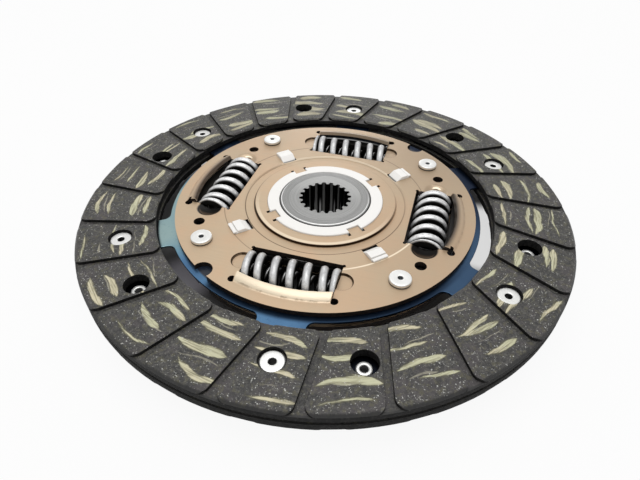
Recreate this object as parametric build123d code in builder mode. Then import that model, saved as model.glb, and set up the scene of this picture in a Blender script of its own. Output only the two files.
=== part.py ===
from build123d import *
import os
from math import asin, cos, degrees, radians, sin, sqrt

# Clutch disc with a torsion damper.
# The origin is on the hub's axis, midway between the two friction faces. +Z is the flywheel side.
# Each window is named by its direction: "side" windows at 0 and 180 degrees, "cross" windows at
# 90 and 270. Lengths are in millimetres, angles in degrees.

os.makedirs("parts", exist_ok=True)

# Friction facings
facing_diameter = 200.0
facing_bore = 140.0
facing_thickness = 3.4
groove_count = 24
groove_width = 2.7
groove_depth = 1.3
groove_offset = 19.84  # every groove runs parallel to a radius, this far beside it
pad_corner_radius = 3.2
rim_bevel = 0.7
bore_bevel = 0.5

# Cushion disc, one piece of spring steel
sheet = 0.9
cushion_overhang = 2.3  # from the cover plates' rim out to the rim of the ring
cushion_lap = 5.2  # from the cover plates' rim in to the bore of the ring
paddle_count = 6
paddle_angle = 45.0
paddle_span = 48.0
paddle_setback = 1.5  # from the facing's bore out to the paddle's inner edge
paddle_rim_gap = 2.0  # from the paddle's end in to the facing's rim
paddle_corner_radius = 4.0
ramp_length = 10.0
neck_angle = 33.5
neck_width = 17.0
neck_fillet = 3.0  # where the neck leaves the ring
lug_radius = 6.5

# Facing rivets, tubular
rivet_inset = 16.7  # from the facing's rim in to the circle of rivets
head_angle = 35.0
tail_angle = 54.2
rivet_shank_radius = 2.1
rivet_bore_radius = 1.3
rivet_head_radius = 4.0
rivet_head_height = 0.9
rivet_head_depth = 1.0  # top of the head below the friction face
rivet_tail_radius = 2.65
rivet_tail_height = 0.9
rivet_edge = 0.35
rivet_hole_play = 0.1
counterbore_radius = 4.5
clearance_hole_radius = 4.5

# Cover plates
plate_radius = 62.7
plate_thickness = 2.1
window_length = 35.6
window_play = 0.6  # from a spring in to its window's straight inner edge
lip_inset = 4.0  # from the plate's rim in to the root of the lips
lip_lean = 3.8  # from the root of a lip in to its edge
lip_height = 1.8
lip_thickness = 1.5
lip_bulge = 0.4
relief_hole_radius = 1.5
relief_inset = 4.9
relief_offset = 1.0  # from a window's end out to its relief holes
relief_slit_width = 1.3  # slits join a side window's corners to its relief holes
relief_slit_length = 2.4
corner_nick_radius = 0.7
side_seat_radius = 5.4  # dished seats at both ends of a side window
side_seat_offset = 1.7  # from the window's end out to the seat's centre
side_seat_depth = 1.7
cross_seat_radius = 4.2  # stepped seats at both ends of a cross window
cross_seat_offset = 1.2
cross_seat_depth = 0.9
cross_seat_draft = 0.4
scallop_radius = 3.8
scallop_inset = 0.9
scallop_angle = 60.0
drain_hole_radius = 2.25
drain_inset = 9.5
drain_angle = 33.0
boss_radius = 30.0
boss_height = 0.35  # above the plate's face
channel_radius = 34.5
channel_depth = 0.65  # below the plate's face
shelf_radius = 42.5
shelf_depth = 0.15  # below the plate's face
press_draft = 0.45  # radial run of each pressed step
plate_bore_radius = 24.6
tab_count = 4
tab_angle = 45.0
tab_width = 5.0
tab_reach_radius = 22.2
tab_relief_radius = 25.8
tab_relief_width = 7.5

# Rear plate's dish, which houses the friction stack
dish_wall_gap = 1.4  # from the washers out to the dish's wall
dish_depth = 2.0
dish_draft = 1.0
rear_plate_bore_radius = 22.6

# Stop pins
pin_count = 4
pin_inset = 8.1  # from the cover plates' rim in to the circle of pins
pin_body_radius = 3.5
pin_shank_radius = 2.5
pin_head_radius = 4.1
pin_head_height = 1.7
pin_head_edge = 0.35
pin_dimple_radius = 1.0
pin_dimple_depth = 0.8
pin_hole_play = 0.05

# Damper springs
spring_axis_radius = 44.8
spring_radius = 7.6
spring_wire_radius = 1.75
spring_pitch = 6.1
spring_end_play = 0.2
inner_spring_radius = 3.4
inner_spring_wire_radius = 0.9
inner_spring_pitch = 3.1

# Hub
hub_face_height = 4.3
hub_radius = 19.2
hub_length = 20.3
hub_chamfer = 0.5
hub_tail_radius = 17.0
hub_tail_length = 5.0
recess_radius = 15.4
recess_depth = 0.12
spline_teeth = 20
spline_minor_radius = 9.7
spline_major_radius = 11.1
space_width_minor = 2.1
space_width_major = 1.0
spline_angle = 1.0
collar_teeth = 16
collar_root_radius = 21.3
collar_tip_radius = 23.2
collar_tooth_width = 4.2
collar_tip_width = 3.2
collar_play = 0.03

# Hub flange
flange_inset = 5.7  # from the cover plates' rim in to the flange's
flange_thickness = 3.0
flange_window_play = 0.4  # on both sides of a spring
hub_turn_limit = 8.0
stop_play_angle = 0.5
notch_depth_play = 1.1  # radial room inside each stop pin
notch_corner_radius = 2.0

# Bushes and friction washers
bush_gap = 0.3  # from the hub's barrel out to each bush
running_gap = 0.05  # on each face of the flange
bush_top_height = 4.0
bush_play = 0.1
bush_flange_radius = 28.6
bush_edge = 0.3
tab_notch_play = 0.2
ring_play = 0.4  # from the bush's flange out to the friction ring
ring_outer_radius = 36.2
ear_width = 9.0
ear_outer_radius = 43.4
hook_slot_inner = 34.2
hook_slot_outer = 42.0
hook_slot_width = 6.7
hook_play = 0.1
hook_inner = 35.2
hook_ramp_depth = 0.5  # below the plate's face, where the hook's ramp starts
hook_ramp = 2.5  # radial run of the ramp
hook_height = 1.2  # above the plate's face
hook_catch = 0.7  # reach over the plate, beyond the slot
hook_toe = 1.5  # radial width of the low toe at the hook's end
hook_toe_drop = 0.3
hook_groove_width = 0.3  # between the hook and its toe
hook_groove_depth = 0.8
washer_inner_radius = 24.0
washer_outer_radius = 32.0
washer_thickness = 1.2
pressure_washer_thickness = 0.8
key_width = 5.0
key_thickness = 1.2
key_play = 0.15
key_stand_out = 0.3
disc_spring_inner_radius = 23.6
disc_spring_setback = 1.6  # from the washers' rim in to the disc spring's
disc_spring_thickness = 0.6
rear_bush_flange_radius = 25.2
rear_bush_flange_thickness = 1.0

overlap = 1.0  # how far an added tooth, lip or neck runs into what carries it

# Distances from the hub's axis that follow from the sizes above
rivet_circle_radius = facing_diameter / 2 - rivet_inset
cushion_ring_radius = plate_radius + cushion_overhang
cushion_bore_radius = plate_radius - cushion_lap
paddle_inner_radius = facing_bore / 2 + paddle_setback
window_inner = spring_axis_radius - spring_radius - window_play
lip_root_radius = plate_radius - lip_inset
lip_edge_radius = lip_root_radius - lip_lean
scallop_circle_radius = plate_radius - scallop_inset
drain_circle_radius = plate_radius - drain_inset
pin_circle_radius = plate_radius - pin_inset
flange_radius = plate_radius - flange_inset
flange_window_inner = spring_axis_radius - spring_radius - flange_window_play
flange_window_outer = spring_axis_radius + spring_radius + flange_window_play
dish_radius = washer_outer_radius + dish_wall_gap
disc_spring_outer_radius = washer_outer_radius - disc_spring_setback

# Levels along the hub's axis
facing_back = sheet
facing_face = facing_back + facing_thickness
rivet_head_top = facing_face - rivet_head_depth
rivet_seat = rivet_head_top - rivet_head_height
plate_under = sheet
plate_top = plate_under + plate_thickness
flange_gap = 1.15  # from the front plate's back to the flange
flange_top = plate_under - flange_gap
flange_under = flange_top - flange_thickness
spring_level = (flange_top + flange_under) / 2
rear_plate_inside = 2 * spring_level - plate_under
rear_plate_outside = rear_plate_inside - plate_thickness
bush_seat = flange_top + running_gap
washer_top = flange_under - running_gap
pressure_washer_top = washer_top - washer_thickness
pressure_washer_under = pressure_washer_top - pressure_washer_thickness
dish_inside = rear_plate_inside - dish_depth
dish_outside = dish_inside - plate_thickness
spring_length = window_length - 2 * spring_end_play
relief_height = window_length / 2 + relief_offset
relief_point = Vector(sqrt((plate_radius - relief_inset)**2 - relief_height**2), relief_height)
hub_end = hub_face_height - hub_length
turn_over = Axis((0, 0, 0), (cos(radians((head_angle + tail_angle) / 2)),
                             sin(radians((head_angle + tail_angle) / 2)), 0))


def ring(outer_radius, inner_radius):
    """Flat annulus in the current sketch."""
    Circle(outer_radius)
    Circle(inner_radius, mode=Mode.SUBTRACT)


def wedge(half_angle, mode=Mode.ADD):
    """Sector of the current sketch about +X, far wider than the disc."""
    side = (facing_diameter * cos(radians(half_angle)), facing_diameter * sin(radians(half_angle)))
    Polygon((0, 0), (side[0], -side[1]), side, align=None, mode=mode)


def beam(start, end, width, mode=Mode.ADD):
    """Rectangle along a radius, from one distance to another."""
    with Locations((start, 0)):
        Rectangle(end - start, width, align=(Align.MIN, Align.CENTER), mode=mode)


def trapezoid_teeth(count, inner, outer, inner_width, outer_width, start_angle=0.0, mode=Mode.ADD):
    """Teeth or tooth spaces that taper from one radius to another."""
    with PolarLocations(0, count, start_angle=start_angle):
        Polygon((inner, -inner_width / 2), (outer, -outer_width / 2),
                (outer, outer_width / 2), (inner, inner_width / 2), align=None, mode=mode)


def collar_outline(play=0.0, mode=Mode.ADD):
    """Toothed collar that carries the flange on the hub, grown by a play for the flange's hole."""
    Circle(collar_root_radius + play, mode=mode)
    trapezoid_teeth(collar_teeth, collar_root_radius - overlap, collar_tip_radius + play,
                    collar_tooth_width + 2 * play, collar_tip_width + 2 * play, mode=mode)


def plate_openings():
    """What both cover plates have cut through them: windows, pin holes, reliefs, drain holes."""
    with PolarLocations(0, 4):
        beam(window_inner, lip_root_radius, window_length)
    Circle(lip_root_radius, mode=Mode.INTERSECT)
    with PolarLocations(pin_circle_radius, pin_count, start_angle=tab_angle):
        Circle(pin_shank_radius + pin_hole_play)
    for side in (-1, 1):
        with PolarLocations(0, 4):
            with Locations((relief_point.X, side * relief_point.Y)):
                Circle(relief_hole_radius)
            with Locations((window_inner + corner_nick_radius / 2, side * window_length / 2)):
                Circle(corner_nick_radius)
        with PolarLocations(drain_circle_radius, 2, start_angle=side * drain_angle):
            Circle(drain_hole_radius)
    with PolarLocations(scallop_circle_radius, 2, start_angle=scallop_angle):
        Circle(scallop_radius)


def spring_seats():
    """Seats coined into the front plate's face at both ends of each window: a dish at the side
    windows, a stepped half-round at the cross windows."""
    dish_ball = (side_seat_radius**2 + side_seat_depth**2) / (2 * side_seat_depth)
    for side in (-1, 1):
        with PolarLocations(0, 2):
            with Locations((spring_axis_radius, side * (window_length / 2 + side_seat_offset),
                            plate_top - side_seat_depth + dish_ball)):
                Sphere(dish_ball, mode=Mode.SUBTRACT)
        with PolarLocations(0, 2, start_angle=90):
            with Locations((spring_axis_radius, side * (window_length / 2 + cross_seat_offset),
                            plate_top - cross_seat_depth / 2)):
                Cone(cross_seat_radius - cross_seat_draft, cross_seat_radius, cross_seat_depth,
                     mode=Mode.SUBTRACT)


def spring_coil(outer_radius, wire_radius, pitch, left_hand=False):
    """Coil along Y with its ends ground flat, on the damper's spring circle at 0 degrees."""
    centre = Vector(spring_axis_radius, -spring_length / 2 - wire_radius, spring_level)
    with BuildPart() as coil:
        with BuildLine():
            path = Helix(pitch, spring_length + 2 * wire_radius, outer_radius - wire_radius,
                         center=centre, direction=(0, 1, 0), lefthand=left_hand)
        with BuildSketch(Plane(origin=path @ 0, z_dir=path % 0)):
            Circle(wire_radius)
        sweep(is_frenet=True)
        with BuildSketch(Plane.XZ.offset(-spring_length / 2)):
            with Locations((spring_axis_radius, spring_level)):
                Circle(outer_radius + wire_radius)
        extrude(amount=spring_length, mode=Mode.INTERSECT)
    return coil.part


# One friction pad, between the groove beside +X and the one before it.
with BuildSketch() as pad:
    ring(facing_diameter / 2, facing_bore / 2)
    groove_ends = (facing_bore / 2 - groove_offset, facing_diameter)
    upper_side = [Vector(x, groove_offset - groove_width / 2) for x in groove_ends]
    lower_side = [Vector(x, groove_offset + groove_width / 2).rotate(Axis.Z, -360 / groove_count)
                  for x in groove_ends]
    Polygon(*lower_side, *reversed(upper_side), align=None, mode=Mode.INTERSECT)
    fillet(pad.vertices(), radius=pad_corner_radius)

# Facings: a solid back up to the floor of the grooves, with the pads on it.
with BuildPart() as front_facing:
    with BuildSketch(Plane.XY.offset(facing_back)):
        ring(facing_diameter / 2, facing_bore / 2)
    extrude(amount=facing_thickness - groove_depth)
    with BuildSketch(Plane.XY.offset(facing_face - groove_depth)):
        with PolarLocations(0, groove_count):
            add(pad.sketch)
    extrude(amount=groove_depth)
    with BuildSketch(Plane.XZ):
        for edge, bevel in ((facing_diameter / 2, rim_bevel), (facing_bore / 2, bore_bevel)):
            with Locations((edge, facing_face)):
                Rectangle(2 * bevel, 2 * bevel, rotation=45)
    revolve(mode=Mode.SUBTRACT)
    with BuildSketch(Plane.XY.offset(facing_back)):
        with PolarLocations(rivet_circle_radius, paddle_count, start_angle=head_angle):
            Circle(rivet_shank_radius + rivet_hole_play)
        with PolarLocations(rivet_circle_radius, paddle_count, start_angle=tail_angle):
            Circle(clearance_hole_radius)
    extrude(amount=facing_thickness, mode=Mode.SUBTRACT)
    with BuildSketch(Plane.XY.offset(rivet_seat)):
        with PolarLocations(rivet_circle_radius, paddle_count, start_angle=head_angle):
            Circle(counterbore_radius)
    extrude(amount=facing_thickness, mode=Mode.SUBTRACT)
front_facing.part.label = "front_facing"
export_step(front_facing.part, "parts/front_facing.step")

# The rear facing is the same moulding, turned over between a head and its neighbouring tail.
with BuildPart() as rear_facing:
    add(front_facing.part.rotate(turn_over, 180))
rear_facing.part.label = "rear_facing"
export_step(rear_facing.part, "parts/rear_facing.step")

# One paddle, centred on +X: flat against the front facing, a ramp, flat against the rear facing.
with BuildPart() as paddle:
    with BuildSketch(Plane.YZ):
        with BuildLine():
            Polyline((-facing_bore / 2, 0), (-ramp_length / 2, 0), (ramp_length / 2, -sheet),
                     (facing_bore / 2, -sheet), (facing_bore / 2, 0), (ramp_length / 2, 0),
                     (-ramp_length / 2, sheet), (-facing_bore / 2, sheet), close=True)
        make_face()
    extrude(amount=facing_diameter / 2)
    with BuildSketch(Plane.XY.offset(-sheet)) as paddle_plan:
        ring(facing_diameter / 2 - paddle_rim_gap, paddle_inner_radius)
        wedge(paddle_span / 2, mode=Mode.INTERSECT)
        fillet(paddle_plan.vertices(), radius=paddle_corner_radius)
    extrude(amount=2 * sheet, mode=Mode.INTERSECT)

with BuildPart() as cushion_disc:
    with BuildSketch() as cushion_plan:
        Circle(cushion_ring_radius)
        with PolarLocations(0, paddle_count, start_angle=neck_angle):
            beam(cushion_bore_radius, paddle_inner_radius + paddle_corner_radius, neck_width)
        neck_roots = cushion_plan.vertices().filter_by(
            lambda corner: Vector(corner).length < cushion_ring_radius + neck_fillet)
        fillet(neck_roots, radius=neck_fillet)
        Circle(cushion_bore_radius, mode=Mode.SUBTRACT)
        with PolarLocations(pin_circle_radius, pin_count, start_angle=tab_angle):
            Circle(lug_radius)
    extrude(amount=sheet)
    with PolarLocations(0, paddle_count, start_angle=paddle_angle):
        add(paddle.part)
    with BuildSketch(Plane.XY.offset(-sheet)):
        with PolarLocations(pin_circle_radius, pin_count, start_angle=tab_angle):
            Circle(pin_shank_radius + pin_hole_play)
        for angle in (head_angle, tail_angle):
            with PolarLocations(rivet_circle_radius, paddle_count, start_angle=angle):
                Circle(rivet_shank_radius + rivet_hole_play)
    extrude(amount=2 * sheet, mode=Mode.SUBTRACT)
cushion_disc.part.label = "cushion_disc"
export_step(cushion_disc.part, "parts/cushion_disc.step")

# One facing rivet on the Z axis: head in its counterbore, tail clinched under the sheet.
with BuildPart() as facing_rivet:
    with BuildSketch(Plane.XZ):
        with BuildLine():
            Polyline((rivet_bore_radius, rivet_head_top),
                     (rivet_head_radius - rivet_edge, rivet_head_top),
                     (rivet_head_radius, rivet_head_top - rivet_edge),
                     (rivet_head_radius, rivet_seat), (rivet_shank_radius, rivet_seat),
                     (rivet_shank_radius, 0), (rivet_tail_radius, 0),
                     (rivet_tail_radius, rivet_edge - rivet_tail_height),
                     (rivet_tail_radius - rivet_edge, -rivet_tail_height),
                     (rivet_bore_radius, -rivet_tail_height), close=True)
        make_face()
    revolve()

with BuildPart() as front_facing_rivets:
    with PolarLocations(rivet_circle_radius, paddle_count, start_angle=head_angle):
        add(facing_rivet.part)
front_facing_rivets.part.label = "front_facing_rivets"
export_step(front_facing_rivets.part, "parts/front_facing_rivets.step")

with BuildPart() as rear_facing_rivets:
    add(front_facing_rivets.part.rotate(turn_over, 180))
rear_facing_rivets.part.label = "rear_facing_rivets"
export_step(rear_facing_rivets.part, "parts/rear_facing_rivets.step")

# Lips pressed up along the outer edge of each window, which hold the springs in.
with BuildPart() as window_lips:
    with BuildSketch(Plane.XZ) as lip_section:
        lip_rise = Vector(lip_edge_radius - lip_root_radius, lip_height)
        across = Vector(-lip_rise.Y, lip_rise.X).normalized() * lip_thickness
        root_out = Vector(lip_root_radius, plate_top)
        edge_out = root_out + lip_rise
        edge_in = edge_out + across
        root_in = edge_in + lip_rise * ((plate_under - edge_in.Y) / lip_rise.Y)
        bulge = across.normalized() * -lip_bulge
        with BuildLine():
            ThreePointArc(root_out, (root_out + edge_out) * 0.5 + bulge, edge_out)
            Line(edge_out, edge_in)
            ThreePointArc(edge_in, (edge_in + root_in) * 0.5 + bulge, root_in)
            Polyline(root_in, (plate_radius - overlap, plate_under), (plate_radius - overlap, plate_top),
                     root_out)
        make_face()
    revolve()
    with BuildSketch(Plane.XY.offset(plate_under)):
        with PolarLocations(spring_axis_radius, 4):
            Rectangle(plate_radius, window_length, align=(Align.MIN, Align.CENTER))
    extrude(amount=plate_thickness + lip_height, mode=Mode.INTERSECT)

with BuildPart() as front_plate:
    with BuildSketch(Plane.XZ):
        boss_top = plate_top + boss_height
        channel_top = plate_top - channel_depth
        shelf_top = plate_top - shelf_depth
        face_line = [(tab_reach_radius, boss_top),
                     (boss_radius, boss_top), (boss_radius + press_draft, channel_top),
                     (channel_radius - press_draft, channel_top), (channel_radius, shelf_top),
                     (shelf_radius - press_draft, shelf_top), (shelf_radius, plate_top),
                     (plate_radius, plate_top)]
        back_line = [(r, z - plate_thickness) for r, z in reversed(face_line)]
        with BuildLine():
            Polyline(*face_line, *back_line, close=True)
        make_face()
    revolve()
    with BuildSketch(Plane.XY.offset(plate_under - plate_thickness)):
        plate_openings()
        Circle(plate_bore_radius)
        with PolarLocations(0, tab_count, start_angle=tab_angle):
            beam(0, tab_relief_radius, tab_relief_width)
            beam(tab_reach_radius, tab_relief_radius, tab_width, mode=Mode.SUBTRACT)
            beam(hook_slot_inner, hook_slot_outer, hook_slot_width)
    extrude(amount=3 * plate_thickness, mode=Mode.SUBTRACT)
    spring_seats()
    add(window_lips.part)
    with BuildSketch(Plane.XY.offset(plate_under)):
        with PolarLocations(0, 2):
            for side in (-1, 1):
                with Locations((relief_point.X, side * (relief_point.Y - relief_slit_length / 2))):
                    Rectangle(relief_slit_width, relief_slit_length)
    extrude(amount=plate_thickness + lip_height, mode=Mode.SUBTRACT)
front_plate.part.label = "front_plate"
export_step(front_plate.part, "parts/front_plate.step")

with BuildPart() as rear_plate:
    with BuildSketch(Plane.XZ):
        inside_line = [(rear_plate_bore_radius, dish_inside), (dish_radius - dish_draft, dish_inside),
                       (dish_radius, rear_plate_inside), (plate_radius, rear_plate_inside)]
        outside_line = [(r, z - plate_thickness) for r, z in reversed(inside_line)]
        with BuildLine():
            Polyline(*inside_line, *outside_line, close=True)
        make_face()
    revolve()
    with BuildSketch(Plane.XY.offset(dish_outside)):
        plate_openings()
        with PolarLocations(0, 4):
            beam(washer_outer_radius - key_thickness - key_play, washer_outer_radius + key_play,
                 key_width + 2 * key_play)
    extrude(amount=dish_depth + 2 * plate_thickness, mode=Mode.SUBTRACT)
    add(window_lips.part.mirror(Plane.XY.offset(spring_level)))
rear_plate.part.label = "rear_plate"
export_step(rear_plate.part, "parts/rear_plate.step")

# Stop pins: shouldered spacers, headed over on both plates.
with BuildPart() as stop_pin:
    with BuildSketch(Plane.XZ):
        half_height = plate_top - spring_level
        head_end = half_height + pin_head_height
        shoulder = -spring_level
        upper_half = [(pin_dimple_radius, head_end), (pin_head_radius - pin_head_edge, head_end),
                      (pin_head_radius, head_end - pin_head_edge), (pin_head_radius, half_height),
                      (pin_shank_radius, half_height)]
        lower_half = [(r, -z) for r, z in reversed(upper_half)]
        with BuildLine():
            Polyline((0, head_end - pin_dimple_depth), (pin_dimple_radius, head_end - pin_dimple_depth),
                     *upper_half, (pin_shank_radius, shoulder), (pin_body_radius, shoulder),
                     (pin_body_radius, rear_plate_inside - spring_level),
                     (pin_shank_radius, rear_plate_inside - spring_level), *lower_half,
                     (0, -head_end), close=True)
        make_face()
    revolve()

with BuildPart() as stop_pins:
    with Locations((0, 0, spring_level)):
        with PolarLocations(pin_circle_radius, pin_count, start_angle=tab_angle):
            add(stop_pin.part)
stop_pins.part.label = "stop_pins"
export_step(stop_pins.part, "parts/stop_pins.step")

# Hub: turned barrel, toothed collar for the flange, splined bore.
with BuildPart() as hub:
    with BuildSketch(Plane.XZ):
        with BuildLine():
            Polyline((0, hub_face_height - recess_depth),
                     (recess_radius - recess_depth, hub_face_height - recess_depth),
                     (recess_radius, hub_face_height), (hub_radius - hub_chamfer, hub_face_height),
                     (hub_radius, hub_face_height - hub_chamfer),
                     (hub_radius, hub_end + hub_tail_length),
                     (hub_tail_radius, hub_end + hub_tail_length - hub_radius + hub_tail_radius),
                     (hub_tail_radius, hub_end + hub_chamfer), (hub_tail_radius - hub_chamfer, hub_end),
                     (0, hub_end), close=True)
        make_face()
    revolve()
    with BuildSketch(Plane.XY.offset(flange_under)):
        collar_outline()
    extrude(amount=flange_thickness)
    with BuildSketch(Plane.XY.offset(hub_end)):
        Circle(spline_minor_radius)
        space_taper = (space_width_minor - space_width_major) / (spline_major_radius - spline_minor_radius)
        trapezoid_teeth(spline_teeth, spline_minor_radius - overlap, spline_major_radius,
                        space_width_minor + overlap * space_taper, space_width_major, spline_angle)
    extrude(amount=hub_length, mode=Mode.SUBTRACT)
hub.part.label = "hub"
export_step(hub.part, "parts/hub.step")

# Hub flange: windows for the springs, notches that let each stop pin travel.
with BuildPart() as hub_flange:
    with BuildSketch(Plane.XY.offset(flange_under)):
        with BuildSketch(mode=Mode.PRIVATE) as pin_notch:
            pin_half_angle = degrees(asin(pin_body_radius / pin_circle_radius))
            wedge(pin_half_angle + hub_turn_limit + stop_play_angle)
            Circle(pin_circle_radius - pin_body_radius - notch_depth_play, mode=Mode.SUBTRACT)
            notch_corners = pin_notch.vertices().filter_by(
                lambda corner: Vector(corner).length < flange_radius)
            fillet(notch_corners, radius=notch_corner_radius)
        Circle(flange_radius)
        with PolarLocations(0, 4):
            beam(flange_window_inner, flange_window_outer, window_length, mode=Mode.SUBTRACT)
        with PolarLocations(0, pin_count, start_angle=tab_angle):
            add(pin_notch.sketch, mode=Mode.SUBTRACT)
        collar_outline(collar_play, mode=Mode.SUBTRACT)
    extrude(amount=flange_thickness)
hub_flange.part.label = "hub_flange"
export_step(hub_flange.part, "parts/hub_flange.step")

# Hub bush: collar in the plate's bore, notched for its four tabs, with a flange under the boss.
boss_under = boss_top - plate_thickness
with BuildPart() as hub_bush:
    with BuildSketch(Plane.XZ):
        collar_radius = plate_bore_radius - bush_play
        with BuildLine():
            Polyline((hub_radius + bush_gap, bush_seat), (bush_flange_radius, bush_seat),
                     (bush_flange_radius, boss_under), (collar_radius, boss_under),
                     (collar_radius, bush_top_height - bush_edge),
                     (collar_radius - bush_edge, bush_top_height),
                     (hub_radius + bush_gap, bush_top_height), close=True)
        make_face()
    revolve()
    with BuildSketch(Plane.XY.offset(boss_under)):
        with PolarLocations(0, tab_count, start_angle=tab_angle):
            beam(tab_reach_radius - tab_notch_play, plate_bore_radius, tab_width + 2 * tab_notch_play)
    extrude(amount=bush_top_height - boss_under, mode=Mode.SUBTRACT)
    with BuildSketch(Plane.XY.offset(bush_seat)):
        with PolarLocations(0, tab_count, start_angle=tab_angle):
            beam(plate_bore_radius, tab_relief_radius, tab_relief_width)
    extrude(amount=boss_under - bush_seat, mode=Mode.SUBTRACT)
hub_bush.part.label = "hub_bush"
export_step(hub_bush.part, "parts/hub_bush.step")

# Front friction ring: stepped like the plate's back, with four ears that end in snap hooks.
channel_under = channel_top - plate_thickness
shelf_under = shelf_top - plate_thickness
with BuildPart() as front_friction_ring:
    with BuildSketch(Plane.XZ):
        step_radius = channel_radius + ring_play / 4
        with BuildLine():
            Polyline((bush_flange_radius + ring_play, bush_seat), (ring_outer_radius, bush_seat),
                     (ring_outer_radius, shelf_under), (step_radius, shelf_under),
                     (step_radius, channel_under), (bush_flange_radius + ring_play, channel_under),
                     close=True)
        make_face()
    revolve()
    with BuildSketch(Plane.XY.offset(bush_seat)):
        with PolarLocations(0, tab_count, start_angle=tab_angle):
            beam(step_radius, ear_outer_radius, ear_width)
    extrude(amount=shelf_under - bush_seat)
    with BuildSketch(Plane.XZ, mode=Mode.PRIVATE) as hook_section:
        hook_top = plate_top + hook_height
        hook_end = hook_slot_outer + hook_catch
        groove_start = hook_end - hook_toe - hook_groove_width
        with BuildLine():
            Polyline((hook_inner, bush_seat), (hook_inner, plate_top - hook_ramp_depth),
                     (hook_inner + hook_ramp, hook_top), (groove_start, hook_top),
                     (groove_start, hook_top - hook_groove_depth),
                     (hook_end - hook_toe, hook_top - hook_groove_depth),
                     (hook_end - hook_toe, hook_top - hook_toe_drop),
                     (hook_end, hook_top - hook_toe_drop), (hook_end, plate_top + hook_play),
                     (hook_slot_outer - hook_play, plate_top + hook_play),
                     (hook_slot_outer - hook_play, bush_seat), close=True)
        make_face()
    for hook in range(tab_count):
        turn = Rotation(0, 0, tab_angle + hook * 360 / tab_count)
        extrude(turn * hook_section.sketch, amount=hook_slot_width / 2 - hook_play, both=True)
front_friction_ring.part.label = "front_friction_ring"
export_step(front_friction_ring.part, "parts/front_friction_ring.step")

# Friction stack behind the flange, from the flange back to the rear plate's dish.
with BuildPart() as rear_friction_washer:
    with BuildSketch(Plane.XY.offset(pressure_washer_top)):
        ring(washer_outer_radius, washer_inner_radius)
    extrude(amount=washer_thickness)
rear_friction_washer.part.label = "rear_friction_washer"
export_step(rear_friction_washer.part, "parts/rear_friction_washer.step")

with BuildPart() as pressure_washer:
    with BuildSketch(Plane.XY.offset(pressure_washer_under)):
        ring(washer_outer_radius, washer_inner_radius)
    extrude(amount=pressure_washer_thickness)
    with BuildSketch(Plane.XY.offset(pressure_washer_under)):
        with PolarLocations(0, 4):
            beam(washer_outer_radius - key_thickness, washer_outer_radius - key_play, key_width)
    extrude(amount=dish_outside - key_stand_out - pressure_washer_under)
pressure_washer.part.label = "pressure_washer"
export_step(pressure_washer.part, "parts/pressure_washer.step")

with BuildPart() as disc_spring:
    with BuildSketch(Plane.XZ):
        Polygon((disc_spring_inner_radius, pressure_washer_under),
                (disc_spring_outer_radius, dish_inside + disc_spring_thickness),
                (disc_spring_outer_radius, dish_inside),
                (disc_spring_inner_radius, pressure_washer_under - disc_spring_thickness), align=None)
    revolve()
disc_spring.part.label = "disc_spring"
export_step(disc_spring.part, "parts/disc_spring.step")

with BuildPart() as rear_bush:
    with BuildSketch(Plane.XZ):
        barrel_radius = rear_plate_bore_radius - bush_play
        with BuildLine():
            Polyline((hub_radius + bush_gap, washer_top), (barrel_radius, washer_top),
                     (barrel_radius, dish_outside), (rear_bush_flange_radius, dish_outside),
                     (rear_bush_flange_radius, dish_outside - rear_bush_flange_thickness),
                     (hub_radius + bush_gap, dish_outside - rear_bush_flange_thickness), close=True)
        make_face()
    revolve()
rear_bush.part.label = "rear_bush"
export_step(rear_bush.part, "parts/rear_bush.step")

# Damper springs, one to a window, and the inner springs of the cross windows.
damper_coil = spring_coil(spring_radius, spring_wire_radius, spring_pitch)
for number in range(4):
    with BuildPart() as damper_spring:
        add(damper_coil.rotate(Axis.Z, 90 * number))
    damper_spring.part.label = f"damper_spring_{number + 1}"
    export_step(damper_spring.part, f"parts/damper_spring_{number + 1}.step")

inner_coil = spring_coil(inner_spring_radius, inner_spring_wire_radius, inner_spring_pitch, left_hand=True)
for number in range(2):
    with BuildPart() as inner_spring:
        add(inner_coil.rotate(Axis.Z, 90 + 180 * number))
    inner_spring.part.label = f"inner_spring_{number + 1}"
    export_step(inner_spring.part, f"parts/inner_spring_{number + 1}.step")
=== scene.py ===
from functools import reduce
from math import cos, pi, radians, sin

import bmesh
import bpy
import numpy as np
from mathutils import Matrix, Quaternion, Vector


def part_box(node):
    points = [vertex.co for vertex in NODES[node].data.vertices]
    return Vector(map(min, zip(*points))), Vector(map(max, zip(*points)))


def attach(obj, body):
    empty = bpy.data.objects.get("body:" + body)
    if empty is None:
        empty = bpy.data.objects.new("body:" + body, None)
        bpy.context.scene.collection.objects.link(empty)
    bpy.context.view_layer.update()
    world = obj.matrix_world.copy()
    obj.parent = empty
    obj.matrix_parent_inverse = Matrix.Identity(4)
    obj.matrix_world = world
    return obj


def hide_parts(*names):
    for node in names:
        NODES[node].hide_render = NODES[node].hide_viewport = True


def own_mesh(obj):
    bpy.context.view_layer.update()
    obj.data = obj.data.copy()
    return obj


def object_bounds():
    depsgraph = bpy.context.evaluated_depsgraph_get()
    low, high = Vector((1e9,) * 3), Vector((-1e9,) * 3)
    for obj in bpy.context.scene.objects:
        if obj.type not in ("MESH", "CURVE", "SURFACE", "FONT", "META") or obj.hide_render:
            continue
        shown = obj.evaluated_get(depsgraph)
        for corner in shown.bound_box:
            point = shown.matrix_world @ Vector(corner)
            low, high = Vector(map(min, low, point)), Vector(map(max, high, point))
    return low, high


bl_info = {
    "name": "Clutch Disc Finisher",
    "version": (1, 0, 0),
    "blender": (4, 5, 0),
    "location": "View3D > Sidebar > Clutch Disc",
    "description": "Dresses the packed clutch disc with its finishes, springs, rivets, stage and camera",
    "category": "Object",
}

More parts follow.
